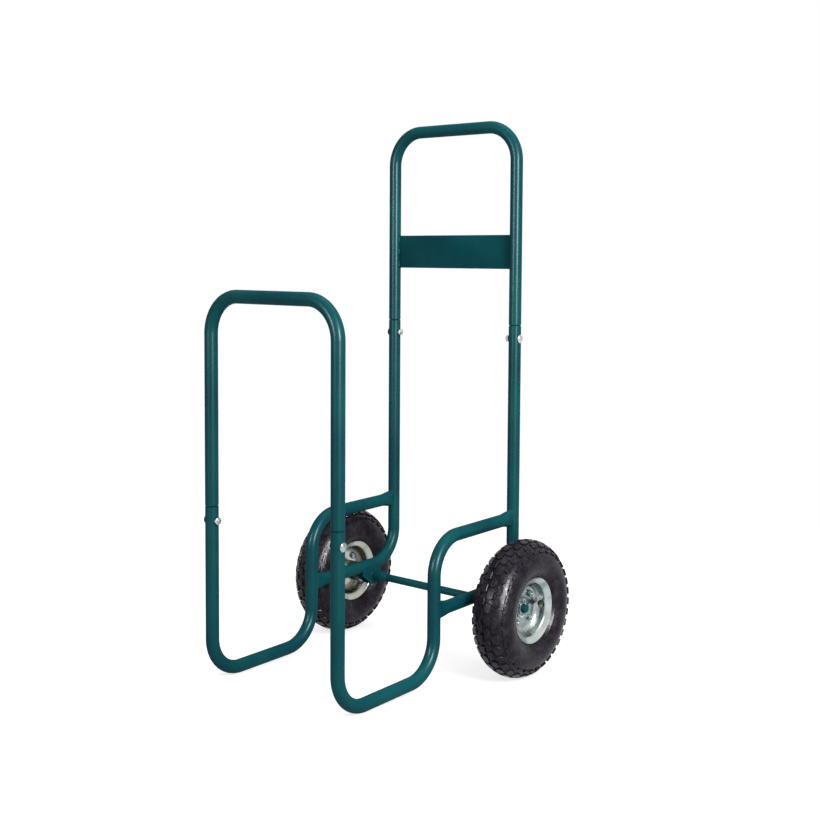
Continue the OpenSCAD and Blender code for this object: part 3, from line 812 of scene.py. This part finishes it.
def axle_bracket(side):
    """The folded bracket: the solid's own mesh, with its sharp edges rounded."""
    node = "axle_bracket_" + SIDES[side]
    bm = bmesh.new()
    bm.from_mesh(frame["nodes"][node].data)
    bmesh.ops.remove_doubles(bm, verts=bm.verts, dist=BRACKET_MERGE)
    bmesh.ops.dissolve_limit(bm, angle_limit=BRACKET_FLAT, verts=bm.verts, edges=bm.edges)
    sharp = [e for e in bm.edges if len(e.link_faces) == 2 and e.calc_face_angle() > BRACKET_FOLD
             and e.calc_length() > BRACKET_SHORT_EDGE]
    bmesh.ops.bevel(bm, geom=sharp, offset=BRACKET_EDGE, affect="EDGES", segments=2, profile=0.5,
                    material=-1, clamp_overlap=True)
    make_piece(node + "_soft", bm, "enamel", "frame", [node], Matrix())


def axle_set():
    end = SIDE_X + AXLE_END
    bar = [(0, -end), (AXLE_R, -end), (AXLE_R, end), (0, end)]
    bm = lathe(bar, steps=48, closed=False, round_off=AXLE_EDGE)
    turn = STANCE @ Matrix.Translation((0, AXLE_BACK, AXLE_H)) @ Matrix.Rotation(pi / 2, 4, "Y")
    make_piece("axle_round", bm, "enamel", "frame", ["axle_bar"], turn)
    hole = AXLE_HOLE_R
    face = BRACKET_W / 2
    straight, tip = -face - COLLAR_LEN, -face - COLLAR_LEN - COLLAR_TAPER
    collar = [(hole, -face), (COLLAR_R, -face), (COLLAR_R, straight),
              (AXLE_R + COLLAR_TIP_WALL, tip), (hole, tip)]
    low = -HUB_BACK - RING_PROUD - WASHER_T
    high = HUB_OUT + RING_PROUD
    washers = (("inner_washer_", INNER_WASHER_R, low), ("outer_washer_", OUTER_WASHER_R, high))
    for side, name in SIDES.items():
        turned("axle_collar_" + name, collar, COLLAR_EDGE, "enamel", "frame", on_axle(side, 0))
        turned("axle_spacer_" + name, ring_profile(hole, COLLAR_R, face, WHEEL_OUT + low), COLLAR_EDGE,
               "enamel", "frame", on_axle(side, 0))
        for part, radius, base in washers:
            turned(part + name, ring_profile(hole, radius, base, base + WASHER_T), WASHER_EDGE, "zinc",
                   "frame", on_axle(side))
        split_pin(side)


def split_pin(side):
    """A wire doubled into an eye, through the axle and splayed below it."""
    turns = [radians(degrees) for degrees in spaced(*PIN_EYE_SPAN, PIN_EYE_STEPS)]
    eye = [(PIN_EYE_R * sin(a), PIN_EYE_H - PIN_EYE_R * cos(a)) for a in turns]
    path = [(y * MM, z * MM) for y, z in [*PIN_LEG, *eye]]
    path += [(0, (PIN_EYE_H + PIN_EYE_R) * MM)] + [(-y, z) for y, z in reversed(path)]
    curve = thick_curve("pin", thickness=PIN_R, resolution=3)
    curve.use_fill_caps = True
    spline = curve.splines.new("NURBS")
    spline.points.add(len(path) - 1)
    spline.use_endpoint_u = True
    spline.order_u = 3
    for point, (y, z) in zip(spline.points, path):
        point.co = (0, y, z, 1)
    node = "split_pin_" + SIDES[side]
    spot = STANCE @ Matrix.Translation((side * (SIDE_X + WHEEL_OUT + PIN_S), AXLE_BACK, AXLE_H))
    make_piece(node + "_bent", curve_to_bmesh(curve), "zinc", "frame", [node], spot)


# ---------------------------------------------------------------- bolts and nuts


def hexagon(bm, width, low, high, place, bore=0.0):
    """A hexagon head or nut with its outer corners taken off."""
    part = bmesh.new()
    bmesh.ops.create_circle(part, radius=width / 2 / cos(pi / 6), segments=6, cap_ends=True,
                            matrix=Matrix.Translation((0, 0, low)))
    top = bmesh.ops.extrude_face_region(part, geom=part.faces[:])["geom"]
    bmesh.ops.translate(part, verts=verts_of(top), vec=(0, 0, high - low))
    bmesh.ops.recalc_face_normals(part, faces=part.faces)
    ends = [f for f in part.faces if abs(f.normal.z) > NEARLY_LEVEL]
    for face in ends:
        bmesh.ops.inset_region(part, faces=[face], thickness=HEX_INSET * width, depth=0.0,
                               use_even_offset=True)
    for vert in part.verts:
        if hypot(vert.co.x, vert.co.y) > HEX_CORNER * width:
            vert.co.z += (HEX_CORNER_CUT if vert.co.z < (low + high) / 2 else -HEX_CORNER_CUT) * width
    if bore:
        for face in [f for f in part.faces if abs(f.normal.z) > LEVEL and len(f.verts) == 6]:
            bmesh.ops.inset_region(part, faces=[face], thickness=width / 2 * HEX_FACE - bore, depth=0.0)
    sharp = [e for e in part.edges if e.calc_face_angle(0) > SHARP]
    bmesh.ops.bevel(part, geom=sharp, offset=HEX_EDGE * width, affect="EDGES", segments=1, profile=0.5,
                    material=-1)
    bmesh.ops.transform(part, matrix=place, verts=part.verts)
    pour(part, bm)


def shank(start, tip, edge):
    """Profile of a bolt from under its head to its tip, whose edge is taken off."""
    full = tip + copysign(edge, start - tip)
    return [(0, start), (BOLT_R, start), (BOLT_R, full), (BOLT_R - edge, tip), (0, tip)]


def dome_head():
    """Profile of a domed head that stands on the tube."""
    dome = HEAD_H - HEAD_BRIM
    sphere_r = (HEAD_R ** 2 + dome ** 2) / (2 * dome)
    head = [(0, TUBE_R + HEAD_H)]
    for i in range(1, DOME_STEPS + 1):
        rim = HEAD_R * i / DOME_STEPS
        head.append((rim, TUBE_R + HEAD_H - sphere_r + sqrt(sphere_r ** 2 - rim ** 2)))
    return head + [(HEAD_R, TUBE_R + HEAD_FOOT), (HEAD_R - HEAD_FOOT_IN, TUBE_R), (0, TUBE_R)]


def joint_fasteners(name, y, seam_h):
    bolts, nuts = bmesh.new(), bmesh.new()
    inner = -TUBE_R - NUT_H
    for side in SIDES:
        turn = Matrix.Rotation(side * pi / 2, 4, "Y")
        spot = Matrix.Translation((side * SIDE_X, y, seam_h - JOINT_DROP)) @ turn
        rod = shank(TUBE_R, inner - BOLT_PAST, JOINT_TIP_EDGE)
        lathe(rod, steps=32, closed=False, bm=bolts, place=spot)
        lathe(dome_head(), steps=48, closed=False, bm=bolts, place=spot)
        hexagon(nuts, NUT_W, inner, -TUBE_R, spot, BOLT_R)
    make_piece(name + "_bolts_turned", bolts, "zinc", "frame", [name + "_bolts"])
    make_piece(name + "_nuts_cut", nuts, "zinc", "frame", [name + "_nuts"])


# ---------------------------------------------------------------- wheels


def rim_half(side, way, part, finish):
    """Half a rim of pressed sheet: disc, barrel, bead seat and flange with a rolled lip."""
    bm = bmesh.new()
    verts = chain(bm, [(r, way * s) for r, s in RIM_SHEET])
    for first, past, fillet in RIM_FILLETS:
        bmesh.ops.bevel(bm, geom=verts[first:past], offset=fillet, affect="VERTICES", segments=5,
                        profile=0.5, material=-1)
    turn_round(bm, RIM_STEPS)
    bmesh.ops.recalc_face_normals(bm, faces=bm.faces)
    sheet = plain_object("sheet", bm)
    wall = sheet.modifiers.new("wall", "SOLIDIFY")
    wall.thickness = RIM_T
    wall.offset = 0
    wall.use_even_offset = True
    lip = sheet.modifiers.new("lip", "BEVEL")
    lip.width = LIP_EDGE
    lip.segments = 2
    lip.limit_method = "ANGLE"
    lip.angle_limit = radians(60)
    cutters = []
    if way > 0:
        drill = bmesh.new()
        bmesh.ops.create_cone(drill, cap_ends=True, segments=40, radius1=VALVE_HOLE_R, radius2=VALVE_HOLE_R,
                              depth=VALVE_HOLE_LEN, matrix=valve_place())
        cutters.append(plain_object("drill", drill))
        hole = sheet.modifiers.new("hole", "BOOLEAN")
        hole.object = cutters[0]
        hole.solver = "EXACT"
    name = SIDES[side]
    make_piece(f"{part}_{name}_pressed", to_bmesh(sheet, *cutters), finish, "wheel_" + name,
               [f"{part}_{name}"], on_axle(side))


def wheel(side):
    name = SIDES[side]
    body = "wheel_" + name
    place = on_axle(side)
    rim_half(side, 1, "rim_outer", "zinc")
    rim_half(side, -1, "rim_inner", "zinc_yellow")
    low, high = -HUB_BACK, HUB_OUT
    bore, step = BEARING_R, BEARING_R - HUB_STEP
    hub = [(bore, low), (HUB_R, low), (HUB_R, high), (bore, high), (bore, high - BEARING_W),
           (step, high - BEARING_W), (step, low + BEARING_W), (bore, low + BEARING_W)]
    turned("hub_tube_" + name, hub, HUB_EDGE, "zinc", body, place, steps=64)
    bolts, nuts = bmesh.new(), bmesh.new()
    for i in range(RIM_BOLTS):
        turn = Matrix.Rotation(pi / 4 + i * pi / 2, 4, "Z")
        spot = turn @ Matrix.Translation((RIM_BOLT_OUT, 0, 0))
        hexagon(bolts, NUT_W, -RIM_T - RIM_HEAD_H, -RIM_T, spot)
        rod = shank(-RIM_T, BOLT_PAST + NUT_H + RIM_T, RIM_TIP_EDGE)
        lathe(rod, steps=24, closed=False, bm=bolts, place=spot)
        twist = Matrix.Rotation(RIM_NUT_TWIST * i, 4, "Z")
        hexagon(nuts, NUT_W, RIM_T, RIM_T + NUT_H, spot @ twist, BOLT_R)
    make_piece(f"rim_bolts_{name}_cut", bolts, "zinc", body, ["rim_bolts_" + name], place)
    make_piece(f"rim_nuts_{name}_cut", nuts, "zinc", body, ["rim_nuts_" + name], place)
    valve(name, body, place)
    tyre(name, body, place)


def valve_place():
    spot = Matrix.Rotation(pi / 2, 4, "Z") @ Matrix.Translation((SEAT_R - RIM_T, 0, VALVE_S))
    return spot @ Matrix.Rotation(-VALVE_TILT, 4, "Y")


def valve(name, body, place):
    for part, profile, edge in (("valve_stem_", VALVE_STEM, STEM_EDGE), ("valve_cap_", VALVE_CAP, CAP_EDGE)):
        node = part + name
        bm = lathe([(r * MM, h * MM) for r, h in profile], steps=40, closed=False, round_off=edge)
        make_piece(node + "_moulded", bm, "soft_rubber", body, [node], place @ valve_place())


def crown_point(y, h):
    """Radius and distance from the middle plane, for an arc length y over the crown and a height h."""
    angle = y / CROWN_ARC
    return SECTION_MID + (CROWN_A + h) * cos(angle), (CROWN_B + h) * sin(angle)


def block(bm, x, y, outline):
    """One tread block: an outline in (x, y) raised, bevelled and wrapped on the crown."""
    part = bmesh.new()
    corners = [part.verts.new((x + a * MM, y + b * MM, -BLOCK_ROOT)) for a, b in outline]
    base = part.faces.new(corners)
    top = bmesh.ops.extrude_face_region(part, geom=[base])["geom"]
    bmesh.ops.translate(part, verts=verts_of(top), vec=(0, 0, BLOCK_ROOT + BLOCK_H))
    bmesh.ops.delete(part, geom=[base], context="FACES_ONLY")
    crown = [f for f in part.faces if all(v.co.z > 0 for v in f.verts)]
    bmesh.ops.bevel(part, geom=list(crown[0].edges), offset=BLOCK_EDGE, affect="EDGES", segments=1,
                    profile=0.5, material=-1)
    crown = max(part.faces, key=lambda f: f.calc_center_median().z)
    bmesh.ops.poke(part, faces=[crown])
    bmesh.ops.recalc_face_normals(part, faces=part.faces)
    for vert in part.verts:
        around, over, h = vert.co
        r, s = crown_point(over, h)
        turn = around / TREAD_R
        vert.co = (r * cos(turn), r * sin(turn), s)
    pour(part, bm)


def tread():
    """One pitch of the tread, repeated around the tyre."""
    bm = bmesh.new()
    pitch = 2 * pi * TREAD_R / TREAD_COUNT
    for way in (-1, 1):
        for out, shift, outline in BLOCK_ROWS:
            block(bm, pitch / 4 * way + pitch * shift, way * out * MM, outline)
    bmesh.ops.spin(bm, geom=[*bm.verts, *bm.edges, *bm.faces], axis=(0, 0, 1), cent=(0, 0, 0),
                   angle=2 * pi * (TREAD_COUNT - 1) / TREAD_COUNT, steps=TREAD_COUNT - 1, use_duplicate=True)
    return bm


def ridge_height(r):
    """How far the moulded rings stand out of the sidewall at a radius."""
    return max(height * max(0.0, 1 - ((r - ridge) / width) ** 2) for ridge, height, width in RIDGES)


def tyre(name, body, place):
    end = acos((WALL_END_R - SECTION_MID) / CROWN_A)
    outside = []
    for i in range(-SECTION_STEPS, SECTION_STEPS + 1):
        angle = end * i / SECTION_STEPS
        r = SECTION_MID + CROWN_A * cos(angle)
        swell = ridge_height(r) if abs(angle) > RIDGE_FROM else 0.0
        aside = copysign(swell, angle) if abs(angle) >= RIDGE_SIDE_FROM else 0.0
        outside.append((r + swell * cos(angle) * RIDGE_RISE, CROWN_B * sin(angle) + aside))
    profile = outside + [*FOOT] + [(r, -s) for r, s in reversed(FOOT)]
    bm = lathe(profile, TYRE_STEPS, bm=tread())
    make_piece(f"tyre_{name}_moulded", bm, "tyre", body, ["tyre_" + name], place, sharp_deg=32)


hoop("front_hoop", 0, FRONT_SEAM_H, HOOP_H)
hoop("handle_hoop", POST_BACK, REAR_SEAM_H, HANDLE_H)
handle_plate()
for side_sign in SIDES:
    side_tube(side_sign)
    rear_post(side_sign)
    axle_bracket(side_sign)
frame_welds()
axle_set()
joint_fasteners("front_joint", 0, FRONT_SEAM_H)
joint_fasteners("rear_joint", POST_BACK, REAR_SEAM_H)
for side_sign in SIDES:
    wheel(side_sign)

# ---------------------------------------------------------------- floor and light
FLOOR_HALF = 2.5
FLOOR_LIFT = 0.74
SOFT_LIGHT = 0.37
WHITE = (1, 1, 1)
COOL = (0.72, 0.95, 1.0)
LOW_AIM, MIDDLE_AIM = (0, 0, 0.5), (0, 0, 0.7)


def seen_ray(nodes, links):
    """One for rays from the camera, and for those that gloss and glass send on."""
    path = nodes.new("ShaderNodeLightPath")
    total = path.outputs["Is Camera Ray"]
    for kind in ("Is Glossy Ray", "Is Transmission Ray"):
        add = nodes.new("ShaderNodeMath")
        add.operation = "MAXIMUM"
        links.new(total, add.inputs[0])
        links.new(path.outputs[kind], add.inputs[1])
        total = add.outputs[0]
    return total


def make_floor():
    bm = bmesh.new()
    bmesh.ops.create_grid(bm, x_segments=1, y_segments=1, size=FLOOR_HALF)
    floor = plain_object("floor", bm)
    material = bpy.data.materials.new("floor")
    material.use_nodes = True
    nodes, links = material.node_tree.nodes, material.node_tree.links
    shader = nodes["Principled BSDF"]
    shader.inputs["Base Color"].default_value = (0.5, 0.5, 0.5, 1)
    shader.inputs["Roughness"].default_value = 0.9
    shader.inputs["Specular IOR Level"].default_value = 0.0
    shader.inputs["Emission Color"].default_value = (*WHITE, 1)
    lift = nodes.new("ShaderNodeMath")
    lift.operation = "MULTIPLY"
    lift.inputs[1].default_value = FLOOR_LIFT
    links.new(seen_ray(nodes, links), lift.inputs[0])
    links.new(lift.outputs[0], shader.inputs["Emission Strength"])
    floor.data.materials.append(material)


def make_world():
    world = bpy.data.worlds.new("studio")
    bpy.context.scene.world = world
    world.use_nodes = True
    nodes, links = world.node_tree.nodes, world.node_tree.links
    soft = nodes["Background"]
    soft.inputs["Color"].default_value = (*WHITE, 1)
    soft.inputs["Strength"].default_value = SOFT_LIGHT
    white = nodes.new("ShaderNodeBackground")
    white.inputs["Color"].default_value = (*WHITE, 1)
    white.inputs["Strength"].default_value = 1.0
    choice = nodes.new("ShaderNodeMixShader")
    links.new(seen_ray(nodes, links), choice.inputs["Fac"])
    links.new(soft.outputs[0], choice.inputs[1])
    links.new(white.outputs[0], choice.inputs[2])
    links.new(choice.outputs[0], nodes["World Output"].inputs["Surface"])


def softbox(name, spot, aim, size, power, glossy=None, tint=WHITE):
    """An area lamp. With a group of glossy pieces it is a strip that only adds highlights to them."""
    data = bpy.data.lights.new(name, "AREA")
    data.shape = "RECTANGLE"
    data.size, data.size_y = size
    data.energy = power
    data.color = tint
    lamp = on_scene(name, data)
    lamp.location = spot
    if glossy:
        lamp.visible_diffuse = False
        lamp.light_linking.receiver_collection = glossy
    lamp.rotation_mode = "QUATERNION"
    lamp.rotation_quaternion = (Vector(aim) - Vector(spot)).to_track_quat("-Z", "Y")


def glossy_pieces(name, finish_names):
    """The pieces of some finishes, for a strip lamp to light, apart from the flat plate."""
    group = bpy.data.collections.new(name)
    finishes = [FINISH[finish] for finish in finish_names]
    for obj in bpy.data.objects:
        if obj.type == "MESH" and obj.active_material in finishes and "plate" not in obj.name:
            group.objects.link(obj)
    return group


make_floor()
make_world()
PAINTED = glossy_pieces("painted", ["enamel"])
RUBBERY = glossy_pieces("rubbery", ["tyre", "soft_rubber"])

# Each lamp's place, aim, width and height, power in watts, and the pieces and tint of a strip
softbox("key", (2.6, -0.8, 2.2), LOW_AIM, (0.8, 1.5), 90)
softbox("key_strip", (2.75, -1.2, 1.16), MIDDLE_AIM, (0.2, 1.1), 580, PAINTED, COOL)
softbox("rubber_key_strip", (2.75, -1.2, 1.25), MIDDLE_AIM, (0.3, 1.3), 600, RUBBERY)
softbox("fill", (0.3, -3.3, 1.6), LOW_AIM, (0.8, 0.8), 9)
softbox("fill_strip", (-0.4, -3.0, 1.1), MIDDLE_AIM, (0.15, 1.1), 310, PAINTED, COOL)
softbox("rubber_fill_strip", (-0.4, -3.0, 1.25), MIDDLE_AIM, (0.25, 1.3), 220, RUBBERY)
softbox("top", (0.3, 0.2, 3.2), (0, 0, 0), (1.6, 1.6), 28)

bpy.context.scene.view_settings.view_transform = "Standard"
